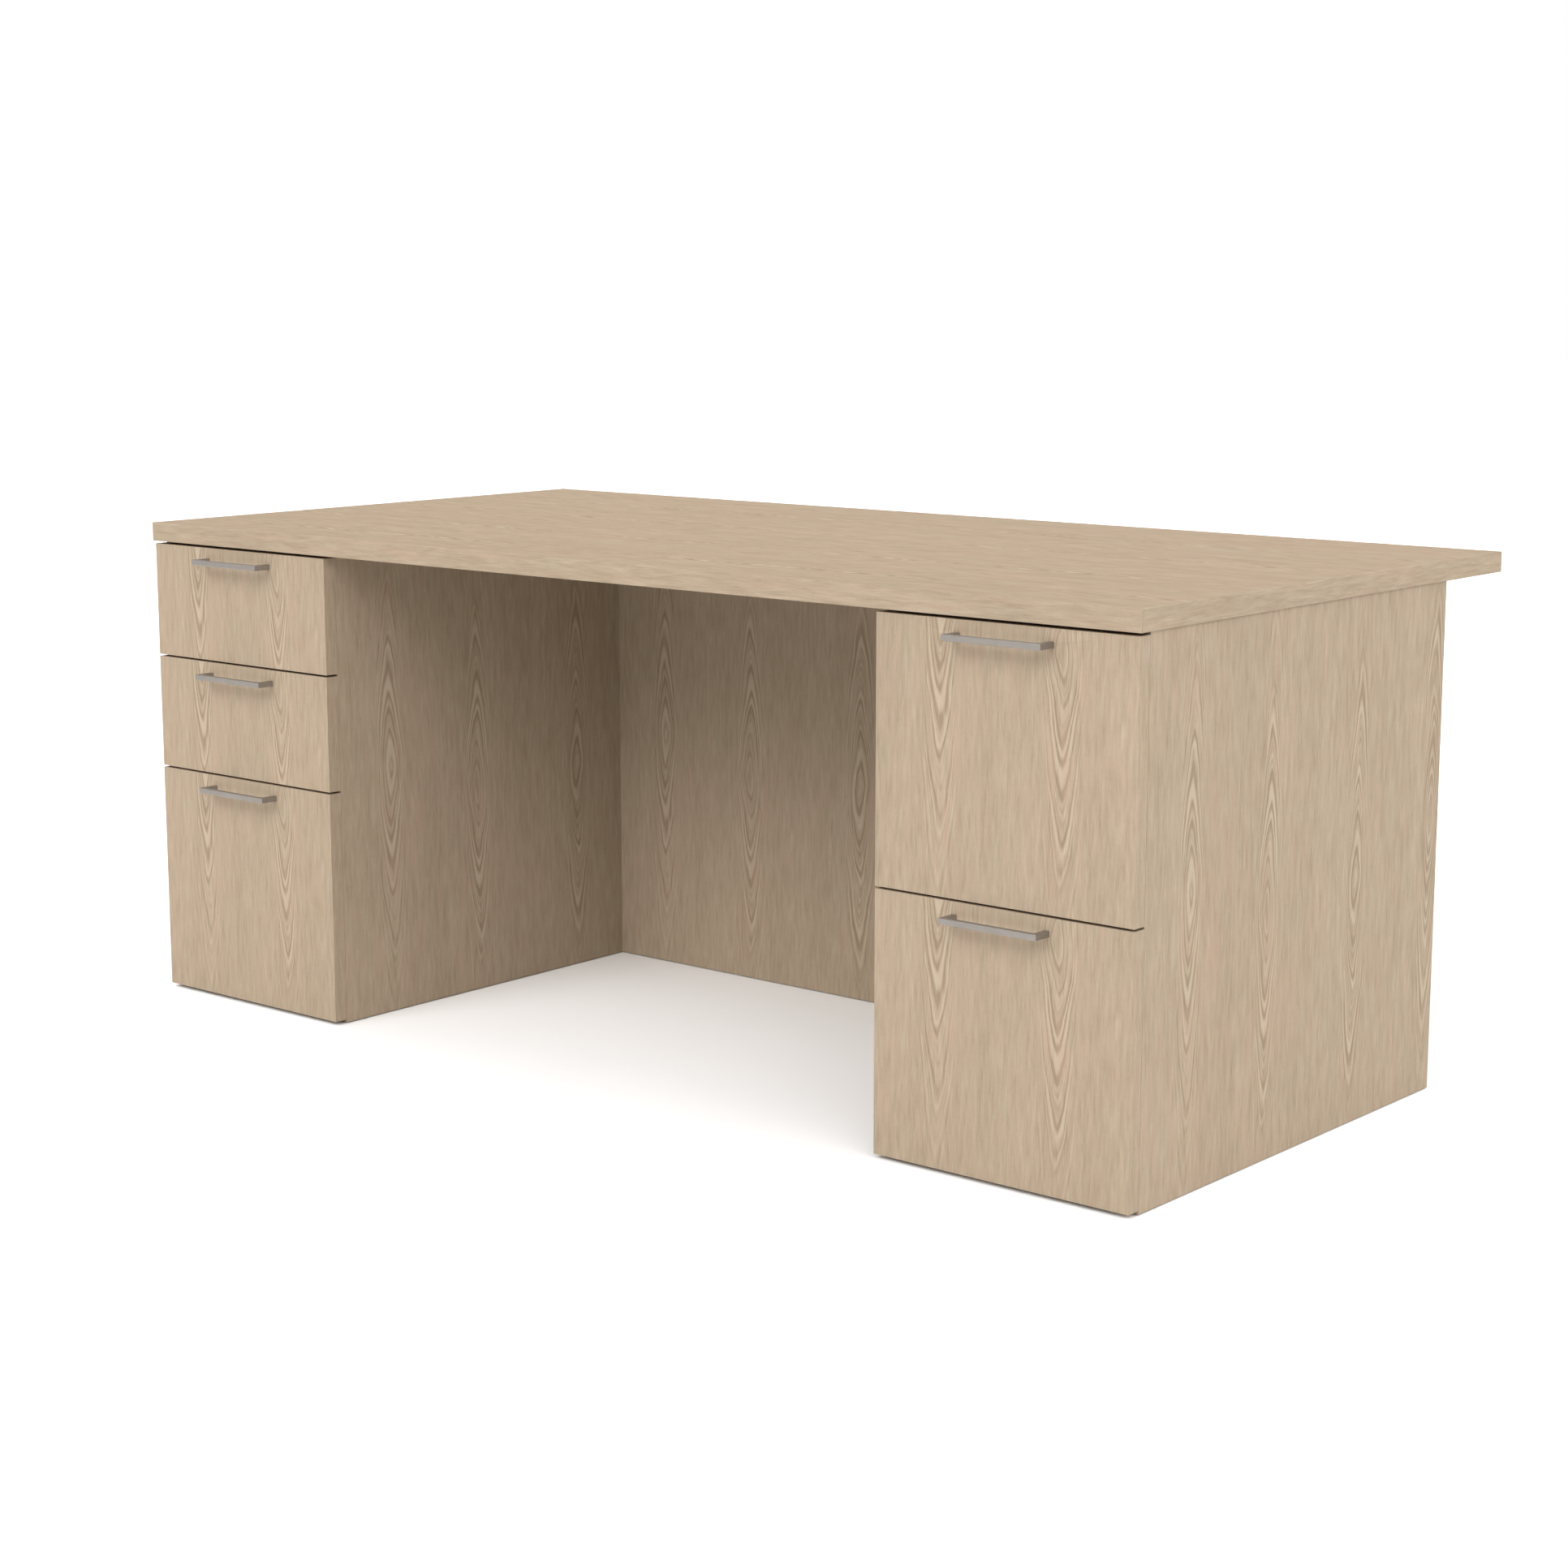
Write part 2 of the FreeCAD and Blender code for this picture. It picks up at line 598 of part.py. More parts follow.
def drawer(name, side, face_low, face_height, files):
    """One drawer: face, box, pull, slide members, runners, screws and any file rails."""
    middle = PEDESTAL_X[side]
    headroom = "file_headroom" if files else "box_headroom"
    box_low = f"({face_low} + {BOX_RISE})"
    box_height = f"({face_height} - {BOX_RISE} - {headroom})"
    box_rear = f"({FACE_BACK} + {BOX_DEPTH} - box_wall)"
    floor_low = f"({box_low} + bottom_lift)"
    groove_height = "(box_bottom + groove_play)"
    screws = []

    pull_z = f"({face_low} + {face_height} - pull_drop)"
    pull_bores = []
    for sign, _ in WALLS:
        x = f"{middle} + {sign} * {PULL_POST}"
        screws += copies(pull_screw, [(x, FACE_BACK, pull_z, POINTING["-y"])])
        pull_bores.append(rod(f"{name}_pull_bore", "y", SCREW_BORE, "face_thickness",
                              x, FACE_FRONT, pull_z))
    copied_node(f"{name}_pull", copies(pull, [(middle, FACE_FRONT, pull_z, FreeCAD.Rotation())]))

    face_bores = []
    for sign, _ in WALLS:
        for z in (f"{box_low} + face_screw_inset", f"{box_low} + {box_height} - face_screw_inset"):
            x = f"{middle} + {sign} * ({BOX_INSIDE} / 2 - face_screw_inset)"
            seat = f"({FACE_BACK} + box_wall)"
            screws += copies(face_screw, [(x, seat, z, POINTING["-y"])])
            face_bores.append(rod(f"{name}_face_bore", "y", SCREW_BORE, "face_screw_length + screw_play", x,
                                  f"{seat} - face_screw_length - screw_play", z))
    face = board(f"{name}_face_board", middle, "pedestal_width", FACE_FRONT, "face_thickness",
                 face_low, face_height)
    node(f"{name}_face", cut(f"{name}_face_drilled", face, pull_bores + face_bores))

    end_width = f"({BOX_INSIDE} + 2 * rabbet_depth)"
    ends = []
    for end, y, groove_y in (
        ("front", FACE_BACK, f"{FACE_BACK} + box_wall - groove_depth"),
        ("rear", box_rear, box_rear),
    ):
        plain = board(f"{name}_{end}_board", middle, end_width, y, "box_wall", box_low, box_height)
        groove = board(f"{name}_{end}_groove", middle, end_width, groove_y, "groove_depth",
                       floor_low, groove_height)
        ends.append(cut(f"{name}_{end}_end", plain, [groove] + (face_bores if end == "front" else [])))
    node(f"{name}_box_ends", group(f"{name}_ends", ends))

    sides = []
    members = []
    runners = []
    rails = []
    for sign, turn in WALLS:
        wall = wall_face(side, sign)
        outer = f"({wall} - {sign} * slide_space)"
        inner = f"({outer} - {sign} * box_wall)"
        label = f"{name}_{'left' if sign < 0 else 'right'}"
        side_x = f"({outer} - {sign} * box_wall / 2)"
        groove_x = f"({inner} + {sign} * groove_depth / 2)"
        rabbet_x = f"({inner} + {sign} * rabbet_depth / 2)"
        plain = board(f"{label}_board", side_x, "box_wall", FACE_BACK, BOX_DEPTH, box_low, box_height)
        tools = [board(f"{label}_groove", groove_x, "groove_depth", f"{FACE_BACK} + box_wall",
                       f"({BOX_DEPTH} - 2 * box_wall)", floor_low, groove_height)]
        for end, y in (("front", FACE_BACK), ("rear", box_rear)):
            tools.append(board(f"{label}_{end}_rabbet", rabbet_x, "rabbet_depth", y, "box_wall",
                               box_low, box_height))
        slide = [(wall, SLIDE_MIDDLE, slide_height_of(face_low), turn)]
        members += copies(drawer_member, slide)
        runners += copies(runner, slide)
        for y, z in slide_spots(face_low):
            seat = f"{outer} + {sign} * slide_gauge"
            screws += copies(slide_screw, [(seat, y, z, POINTING["+x" if sign < 0 else "-x"])])
            start = outer if sign < 0 else f"{outer} - slide_screw_length"
            tools.append(rod(f"{label}_slide_bore", "x", SCREW_BORE, "slide_screw_length", start, y, z))
        sides.append(cut(f"{label}_side", plain, tools))
        if files:
            top_z = f"{box_low} + {box_height}"
            rails += copies(file_rail, [(side_x, f"{FACE_BACK} + {BOX_DEPTH} / 2", top_z, turn)])
    node(f"{name}_box_sides", group(f"{name}_sides", sides))
    copied_node(f"{name}_slide_members", members)
    copied_node(f"{name}_runners", runners)
    copied_node(f"{name}_screws", screws)
    if files:
        copied_node(f"{name}_file_rails", rails)

    reach = "2 * (groove_depth - groove_play)"
    floor = board(f"{name}_floor", middle, f"({BOX_INSIDE} + {reach})",
                  f"{FACE_BACK} + box_wall - groove_depth + groove_play",
                  f"({BOX_DEPTH} - 2 * box_wall + {reach})", floor_low, "box_bottom")
    node(f"{name}_box_bottom", floor)


# The case and its top
rails = []
top_bores = []
glides = []
modesty_bores = []
for side in PEDESTAL_X:
    side_rails, side_bores, spots, knee_bores = pedestal(side)
    rails += side_rails
    top_bores += side_bores
    glides += copies(glide, spots)
    modesty_bores += knee_bores
node("pedestal_top_rails", group("top_rails", rails))
top_board(top_bores)
modesty = board("modesty_board", "0", KNEE_WIDTH, MODESTY_FRONT, "panel_thickness",
                "glide_reveal", "case_height")
node("modesty_panel", cut("modesty_drilled", modesty, modesty_bores))
copied_node("floor_glides", glides)

# The drawers
for layout in DRAWERS:
    drawer(*layout)

copied_node("slide_channels", channels)
copied_node("case_screws", case_screws)
node("case_dowels", group("dowel_pins", dowels))
doc.recompute()

# Every object has to be sound before anything is written
for thing in doc.Objects:
    if "Invalid" in thing.State or "Error" in thing.State:
        raise RuntimeError(f"{thing.Label} failed: {thing.State}")
for label, thing in nodes.items():
    shape = thing.Shape
    if thing.Label != label or shape.isNull() or not shape.isValid() or not shape.Solids:
        raise RuntimeError(f"{label} has no sound solid")

os.makedirs("parts", exist_ok=True)
for label, thing in nodes.items():
    thing.Shape.exportStep(f"parts/{label}.step")
print(len(nodes), "sub-parts,", sum(len(thing.Shape.Solids) for thing in nodes.values()), "solids")
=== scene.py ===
import math

import bpy
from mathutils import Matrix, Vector


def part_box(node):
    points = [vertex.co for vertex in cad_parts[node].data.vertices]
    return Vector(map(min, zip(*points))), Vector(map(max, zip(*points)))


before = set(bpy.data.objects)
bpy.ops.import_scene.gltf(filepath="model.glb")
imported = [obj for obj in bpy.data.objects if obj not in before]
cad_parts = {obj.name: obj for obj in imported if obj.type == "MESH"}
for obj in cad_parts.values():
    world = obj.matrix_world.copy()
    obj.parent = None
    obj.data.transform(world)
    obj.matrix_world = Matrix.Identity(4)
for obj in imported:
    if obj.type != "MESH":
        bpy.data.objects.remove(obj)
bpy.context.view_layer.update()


def srgb(red, green, blue):
    """A colour given in 0 to 255 steps as the linear one that shaders take."""
    def linear(step):
        share = step / 255
        return share / 12.92 if share <= 0.04045 else ((share + 0.055) / 1.055) ** 2.4
    return linear(red), linear(green), linear(blue), 1.0


X, Y, Z = Vector((1, 0, 0)), Vector((0, 1, 0)), Vector((0, 0, 1))
MILLIMETRES_PER_METRE = 1000
SIDES = ("left", "right")
DRAWERS = ("left_upper", "left_middle", "left_lower", "right_upper", "right_lower")

# Camera: the photograph's side and focal length in pixels, and where it was taken from
PHOTO_SIDE = 1932
FOCAL_PIXELS = 3607.8
SENSOR = 36.0
CAMERA_PLACE = (2.7736, -3.3058, 1.1351)
CAMERA_YAW = 0.6984
CAMERA_PITCH = 0.1749

# Flame columns in millimetres: their places from a board's left edge, and their moves across and along
COLUMNS = (101, 285, 509, 711, 905, 1090)
COLUMN_WANDER = 16
FLAME_SHIFT = 70
TOP_FLAME_SHIFT = 760
FLAME_REPEAT = 760

# Flame shape in millimetres: the bow of its arches, and where it fades across and along the grain
FLAME_STEEPNESS = 0.78
FLAME_SHARPNESS = 1.6
FLAME_TIP = 14
FLAME_REACH = (8, 36)
FLAME_ENDS = (200, 330)
FLAME_FAINTEST = 0.25

# Growth rings: pitch and unevenness in millimetres, turns between columns, and noise from dark to light
RING_PITCH = 24
RING_UNEVENNESS = 22
COLUMN_TURNS = 37
RING_DETAIL = 1.0
RING_RANGE = (0.30, 0.70)

# Noise drawn out along the grain: its steps across and along in millimetres, its detail and roughness
WANDER = {"step": (170, 130)}
UNEVEN = {"step": (22, 70)}
SWAY = {"step": (18, 50)}
HAIRS = {"step": (1.7, 34), "detail": 3.0, "roughness": 0.6}
LINES = {"step": (5.5, 52), "roughness": 0.55}
BANDS = {"step": (36, 400)}
PORES = {"step": (0.5, 8), "detail": 1.0}
PATCHES = {"step": (95, 420)}
TINTS = {"step": (10, 110), "roughness": 0.55}

# How far the streaks sway in millimetres, where pores show, and how much each layer counts in the figure
STREAK_SWAY = 5
PORE_RANGE = (0.60, 0.74)
FLAME_WEIGHT = 0.62
HAIR_WEIGHT = 1.00
LINE_WEIGHT = 0.95
BAND_WEIGHT = 0.40
PATCH_WEIGHT = 0.45

# Places across the figure in metres, where board ends, the edge band and the melamine boards start
END_START = -0.08
BAND_START = 0.597
MELAMINE_START = 0.3

# How squarely a board's end faces along its grain, and the slack around a side strip in metres
END_FACING = 0.7
STRIP_TOLERANCE = 0.0001

# Wood colours, the range of roughness, what is added to the warmth, and how far the flames shift
LAMINATE = {"dark": srgb(137, 120, 100), "light": srgb(168, 153, 133), "pink": srgb(167, 141, 123),
            "green": srgb(153, 146, 124), "pore": srgb(113, 96, 76), "roughness": (0.58, 0.70),
            "warmth": 0.05, "shift": FLAME_SHIFT}
TOP_LAMINATE = {**LAMINATE, "dark": srgb(138, 120, 98), "light": srgb(169, 153, 132),
                "warmth": 0.12, "shift": TOP_FLAME_SHIFT}
MAPLE = {"dark": srgb(162, 146, 122), "light": srgb(188, 174, 156), "pink": srgb(179, 157, 138),
         "green": srgb(171, 161, 140), "pore": srgb(146, 127, 105), "roughness": (0.40, 0.50),
         "warmth": 0.0, "shift": FLAME_SHIFT}

# Wood finish: the warmth over which each tint sets in, its most, and the tone over which the gloss changes
PINK_RANGE = (0.54, 0.76)
PINK_MOST = 0.34
GREEN_RANGE = (0.46, 0.26)
GREEN_MOST = 0.28
PORE_MOST = 0.28
PORE_RELIEF = -0.6
GLOSS_RANGE = (0.2, 0.8)
WOOD_SPECULAR = 0.06

# Metal: lines across the brush strokes and along them, and clouds, per metre, and how they shade it
LINES_ACROSS = 3000
LINES_ALONG = 12
BRUSHING = {"detail": 3.0, "roughness": 0.6}
METAL_CLOUDS = 60
CLOUD_WEIGHT = 0.5
METAL_SHADE_RANGE = (0.3, 0.7)
METAL_GLOSS_RANGE = (0.25, 0.75)

# Moulded nylon: grains per metre, its colours, and its roughness over the range of the grain
NYLON_GRAINS = 2500
NYLON_COLOURS = (srgb(22, 22, 23), srgb(38, 38, 40))
NYLON_GRAIN_RANGE = (0.3, 0.7)
NYLON_ROUGHNESS = (0.5, 0.7)

# Bumps: strength, and height in metres
WOOD_BUMP = (0.12, 0.0002)
METAL_BUMP = (0.06, 0.0001)
NYLON_BUMP = (0.2, 0.0001)

# Edge roundings and the gap between doubled points in metres, and the angles of flat and sharp edges
PANEL_ROUND = 0.0003
BOX_ROUND = 0.0008
ROUND_STEPS = 2
DOUBLED_GAP = 0.00001
FLAT_ANGLE = math.radians(0.5)
SHARP_ANGLE = math.radians(50)

# Floor: half its side in metres, clouds per metre and their detail, colours, roughness and specular level
FLOOR_HALF = 30
FLOOR_CLOUDS = 3
FLOOR_DETAIL = 3.0
FLOOR_COLOURS = (srgb(247, 247, 247), srgb(251, 251, 251))
FLOOR_ROUGHNESS = 0.9
FLOOR_SPECULAR = 0.1

# Studio light: where each soft lamp hangs, seen from the desk, its strength and how narrow it is
LAMPS = (
    (Vector((0.0, -1.0, 0.78)), 9.1, 20),
    (Vector((1.0, -1.0, 0.99)), 3.7, 20),
    (Vector((1.0, 0.0, 0.58)), 3.1, 8),
    (Vector((-1.0, 0.0, 1.2)), 1.2, 6),
    (Vector((0.0, 1.0, 1.2)), 2.3, 6),
)
WHITE = (1.0, 1.0, 1.0, 1.0)


class Graph:
    """Adds nodes to a node tree and feeds their sockets with numbers or with other nodes' sockets."""

    def __init__(self, tree):
        self.tree = tree

    def feed(self, socket, value):
        if isinstance(value, bpy.types.NodeSocket):
            self.tree.links.new(value, socket)
        else:
            socket.default_value = value

    def add(self, kind, inputs=None, **settings):
        made = self.tree.nodes.new("ShaderNode" + kind)
        for name, value in settings.items():
            setattr(made, name, value)
        for name, value in (inputs or {}).items():
            self.feed(made.inputs[name], value)
        return made

    def operate(self, kind, operation, values):
        made = self.add(kind, operation=operation)
        for socket, value in zip(made.inputs, values):
            self.feed(socket, value)
        return made.outputs

    def math(self, operation, *values):
        return self.operate("Math", operation, values)["Value"]

    def vector(self, operation, *values):
        return self.operate("VectorMath", operation, values)["Vector"]

    def dot(self, *values):
        return self.operate("VectorMath", "DOT_PRODUCT", values)["Value"]

    def times(self, place, factor):
        return self.vector("MULTIPLY", place, Vector((factor, factor, factor)))

    def combine(self, x, y, z):
        return self.add("CombineXYZ", {"X": x, "Y": y, "Z": z}).outputs[0]

    def noise(self, place, detail=2.0, roughness=0.5, dimensions="3D"):
        made = self.add("TexNoise", {"Scale": 1.0, "Detail": detail, "Roughness": roughness},
                        noise_dimensions=dimensions)
        self.feed(made.inputs["W" if dimensions == "1D" else "Vector"], place)
        return made.outputs["Fac"]

    def ramp(self, value, start, end, low=0.0, high=1.0, smooth=True):
        made = self.add("MapRange", {"Value": value, "From Min": start, "From Max": end,
                                     "To Min": low, "To Max": high})
        made.interpolation_type = "SMOOTHSTEP" if smooth else "LINEAR"
        return made.outputs[0]

    def between(self, kind, factor, first, second):
        made = self.add("Mix", data_type=kind)
        ends = [socket for socket in made.inputs if socket.type == kind and socket.name in ("A", "B")]
        for socket, value in zip([made.inputs[0], *ends], (factor, first, second)):
            self.feed(socket, value)
        return next(socket for socket in made.outputs if socket.type == kind)

    def mix(self, factor, first, second):
        return self.between("RGBA", factor, first, second)

    def choose(self, second_wanted, first, second):
        return self.between("VECTOR", second_wanted, first, second)


def new_group(name, inputs, outputs):
    """A shader node group, its graph, and by name the sockets that it is given and those that it fills."""
    tree = bpy.data.node_groups.new(name, "ShaderNodeTree")
    for socket, kind in inputs.items():
        tree.interface.new_socket(name=socket, in_out="INPUT", socket_type="NodeSocket" + kind)
    for socket, kind in outputs.items():
        tree.interface.new_socket(name=socket, in_out="OUTPUT", socket_type="NodeSocket" + kind)
    given = tree.nodes.new("NodeGroupInput")
    taken = tree.nodes.new("NodeGroupOutput")
    return tree, Graph(tree), given.outputs, taken.inputs


def wood_figure():
    """Pale oak figure on (across, along, depth) in metres: flame columns among fine straight streaks."""
    tree, graph, given, taken = new_group(
        "wood_figure", {"Place": "Vector", "Shift": "Float"},
        {"Tone": "Float", "Warmth": "Float", "Pores": "Float"})
    place = graph.times(given["Place"], MILLIMETRES_PER_METRE)
    apart = graph.add("SeparateXYZ", {"Vector": place}).outputs
    across, along, depth = apart["X"], apart["Y"], apart["Z"]

    def grain(step, sideways=across, **looks):
        step_across, step_along = step
        stretched = graph.combine(graph.math("DIVIDE", sideways, step_across),
                                  graph.math("DIVIDE", along, step_along),
                                  graph.math("DIVIDE", depth, step_across))
        return graph.noise(stretched, **looks)

    def about_zero(**looks):
        return graph.math("SUBTRACT", grain(**looks), 0.5)

    # The nearest flame column, and which one it is
    figured = graph.math("MULTIPLY_ADD", about_zero(**WANDER), COLUMN_WANDER, across)
    away = graph.math("ABSOLUTE", graph.math("SUBTRACT", figured, COLUMNS[0]))
    number = graph.math("GREATER_THAN", figured, 0.0)
    for before, column in zip(COLUMNS, COLUMNS[1:]):
        gap = graph.math("ABSOLUTE", graph.math("SUBTRACT", figured, column))
        away = graph.math("MINIMUM", away, gap)
        past = graph.math("GREATER_THAN", figured, (before + column) / 2)
        number = graph.math("ADD", number, past)
    chance = graph.add("TexWhiteNoise", {"W": number}, noise_dimensions="1D").outputs["Value"]
    height = graph.math("MULTIPLY_ADD", graph.math("SUBTRACT", chance, 0.5), given["Shift"], along)
    height = graph.math("WRAP", height, FLAME_REPEAT / 2, -FLAME_REPEAT / 2)

    # Growth rings: nested arches whose tips point away from the middle of the flame
    reach = graph.math("SQRT", graph.math("MULTIPLY_ADD", height, height, FLAME_TIP ** 2))
    spread = graph.math("MULTIPLY", graph.math("POWER", away, FLAME_SHARPNESS), FLAME_STEEPNESS)
    uneven = graph.math("MULTIPLY", about_zero(**UNEVEN), RING_UNEVENNESS)
    arch = graph.math("ADD", graph.math("ADD", reach, spread), uneven)
    turn = graph.math("MULTIPLY_ADD", number, COLUMN_TURNS, graph.math("DIVIDE", arch, RING_PITCH))
    rings = graph.ramp(graph.noise(turn, RING_DETAIL, dimensions="1D"), *RING_RANGE, -1.0, 1.0, smooth=False)
    near = graph.ramp(away, *FLAME_REACH, 1.0, 0.0)
    tall = graph.ramp(graph.math("ABSOLUTE", height), *FLAME_ENDS, 1.0, FLAME_FAINTEST)
    flames = graph.math("MULTIPLY", rings, graph.math("MULTIPLY", near, tall))

    # Tone: flames and streaks that sway a little, from hair lines to broad bands, about the middle tone
    swayed = graph.math("MULTIPLY_ADD", about_zero(**SWAY), STREAK_SWAY, across)
    hairs = about_zero(sideways=swayed, **HAIRS)
    lines = about_zero(sideways=swayed, **LINES)
    bands = about_zero(**BANDS)
    tone = 0.5
    for layer, weight in ((flames, FLAME_WEIGHT), (hairs, HAIR_WEIGHT), (lines, LINE_WEIGHT),
                          (bands, BAND_WEIGHT)):
        tone = graph.math("MULTIPLY_ADD", layer, weight, tone)

    warmth = graph.math("MULTIPLY_ADD", about_zero(**PATCHES), PATCH_WEIGHT, grain(**TINTS))
    graph.feed(taken["Tone"], tone)
    graph.feed(taken["Warmth"], warmth)
    graph.feed(taken["Pores"], graph.ramp(grain(**PORES), *PORE_RANGE))
    return tree


WOOD = wood_figure()


def new_material(name):
    """A material, its graph, its shader node, and the coordinates of a point on its surface."""
    material = bpy.data.materials.new(name)
    material.use_nodes = True
    graph = Graph(material.node_tree)
    shader = material.node_tree.nodes["Principled BSDF"]
    return material, graph, shader, graph.add("TexCoord").outputs


def emboss(graph, shader, relief, strength, distance):
    """Gives a shader a bump from a relief."""
    bump = graph.add("Bump", {"Strength": strength, "Distance": distance, "Height": relief})
    graph.feed(shader.inputs["Normal"], bump.outputs[0])


def wood(name, colours, origin, across, along, turned=None):
    """A board's finish. Origin lies on its left edge, level with the middle of its flames.

    On faces square to the grain it runs along the edge, and where turned says so it runs through the depth.
    """
    material, graph, shader, seen = new_material(name)
    moved = graph.vector("SUBTRACT", seen["Object"], origin)
    u, v, w = (graph.dot(moved, axis) for axis in (across, along, across.cross(along)))
    facing = graph.math("ABSOLUTE", graph.dot(seen["Normal"], along))
    at_end = graph.math("GREATER_THAN", facing, END_FACING)
    banded = graph.combine(graph.math("ADD", w, END_START), u, v)
    place = graph.choose(at_end, graph.combine(u, v, w), banded)
    if turned:
        place = graph.choose(turned(graph, seen["Object"]), place, graph.combine(u, w, v))

    figure = graph.add("Group", {"Place": place, "Shift": colours["shift"]}, node_tree=WOOD).outputs
    tone, pores = figure["Tone"], figure["Pores"]
    warmth = graph.math("ADD", figure["Warmth"], colours["warmth"])
    colour = graph.mix(tone, colours["dark"], colours["light"])
    colour = graph.mix(graph.ramp(warmth, *PINK_RANGE, 0.0, PINK_MOST), colour, colours["pink"])
    colour = graph.mix(graph.ramp(warmth, *GREEN_RANGE, 0.0, GREEN_MOST), colour, colours["green"])
    colour = graph.mix(graph.math("MULTIPLY", pores, PORE_MOST), colour, colours["pore"])
    graph.feed(shader.inputs["Base Color"], colour)
    smooth, rough = colours["roughness"]
    graph.feed(shader.inputs["Roughness"], graph.ramp(tone, *GLOSS_RANGE, rough, smooth))
    shader.inputs["Specular IOR Level"].default_value = WOOD_SPECULAR
    emboss(graph, shader, graph.math("MULTIPLY_ADD", pores, PORE_RELIEF, tone), *WOOD_BUMP)
    return material


def metal(name, colour, along, roughness, streak):
    """Brushed or plated metal with fine lines along an axis and a little unevenness in its gloss."""
    material, graph, shader, seen = new_material(name)
    per_metre = Vector((1, 1, 1)) * LINES_ACROSS - along * (LINES_ACROSS - LINES_ALONG)
    lines = graph.noise(graph.vector("MULTIPLY", seen["Object"], per_metre), **BRUSHING)
    clouds = graph.noise(graph.times(seen["Object"], METAL_CLOUDS))
    shade = graph.math("MULTIPLY_ADD", graph.math("SUBTRACT", clouds, 0.5), CLOUD_WEIGHT, lines)
    dim = tuple(part * (1 - streak) for part in colour[:3]) + (1.0,)
    graph.feed(shader.inputs["Base Color"], graph.mix(graph.ramp(shade, *METAL_SHADE_RANGE), dim, colour))
    smooth, rough = roughness
    graph.feed(shader.inputs["Roughness"], graph.ramp(shade, *METAL_GLOSS_RANGE, rough, smooth))
    shader.inputs["Metallic"].default_value = 1.0
    emboss(graph, shader, lines, *METAL_BUMP)
    return material


def nylon():
    """Black moulded nylon with a fine matt grain."""
    material, graph, shader, seen = new_material("moulded_nylon")
    grain = graph.noise(graph.times(seen["Object"], NYLON_GRAINS))
    graph.feed(shader.inputs["Base Color"], graph.mix(grain, *NYLON_COLOURS))
    graph.feed(shader.inputs["Roughness"], graph.ramp(grain, *NYLON_GRAIN_RANGE, *NYLON_ROUGHNESS))
    emboss(graph, shader, grain, *NYLON_BUMP)
    return material


def finish(node, material):
    """Gives a CAD node one material."""
    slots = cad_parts[node].data.materials
    slots.clear()
    slots.append(material)


def weld(node):
    """Joins a CAD node's doubled corner points with a modifier."""
    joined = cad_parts[node].modifiers.new("weld", "WELD")
    joined.merge_threshold = DOUBLED_GAP


def soften(node, width):
    """Rounds a CAD node's sharp edges a little with modifiers."""
    weld(node)
    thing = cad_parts[node]
    flat = thing.modifiers.new("flat", "DECIMATE")
    flat.decimate_type = "DISSOLVE"
    flat.angle_limit = FLAT_ANGLE
    bevel = thing.modifiers.new("bevel", "BEVEL")
    bevel.width = width
    bevel.segments = ROUND_STEPS
    bevel.limit_method = "ANGLE"
    bevel.angle_limit = SHARP_ANGLE
    bevel.harden_normals = True


def upright_board(node, across, eye_height):
    """The laminate of a standing board, seen with its left edge where across starts."""
    low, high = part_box(node)
    corner = Vector([low[i] if across[i] >= 0 else high[i] for i in range(3)])
    corner.z = eye_height
    finish(node, wood(node + "_laminate", LAMINATE, corner, across, Z))
    soften(node, PANEL_ROUND)


def case_boards():
    """The panels of both pedestals and the modesty panel, the upright ones with flames at half height."""
    seen_from = {"left_end_panel": -Y, "left_inner_panel": Y, "left_back_panel": -X,
                 "right_end_panel": Y, "right_inner_panel": -Y, "right_back_panel": -X,
                 "modesty_panel": X}
    for node, across in seen_from.items():
        low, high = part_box(node)
        upright_board(node, across, (low.z + high.z) / 2)
    for side in SIDES:
        node = f"{side}_bottom_panel"
        low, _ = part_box(node)
        finish(node, wood(node + "_laminate", LAMINATE, low, X, Y))
        soften(node, PANEL_ROUND)


def drawer_faces():
    """The five drawer faces: each shows the lower half of its flames."""
    for drawer in DRAWERS:
        node = f"{drawer}_face"
        upright_board(node, X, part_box(node)[1].z)


def top_and_band():
    """The top's laminate runs lengthwise, and each strip of its edge band along its own length."""
    low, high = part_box("desk_top")
    middle = (low + high) / 2
    finish("desk_top", wood("desk_top_laminate", TOP_LAMINATE, Vector((middle.x, low.y, low.z)), Y, X))

    def side_strip(graph, place):
        apart = graph.add("SeparateXYZ", {"Vector": place}).outputs
        beyond = graph.math("GREATER_THAN", graph.math("ABSOLUTE", apart["X"]), high.x - STRIP_TOLERANCE)
        offset = graph.math("ABSOLUTE", graph.math("SUBTRACT", apart["Y"], middle.y))
        between = graph.math("LESS_THAN", offset, (high.y - low.y) / 2 + STRIP_TOLERANCE)
        return graph.math("MULTIPLY", beyond, between)

    start = Vector((middle.x, low.y, low.z - BAND_START))
    finish("top_edge_band", wood("edge_band_laminate", LAMINATE, start, Z, X, side_strip))


def melamine_board(node, name, low, across, along):
    """Pale melamine on a node, with the grain along an axis."""
    finish(node, wood(name, MAPLE, low - MELAMINE_START * across, across, along))


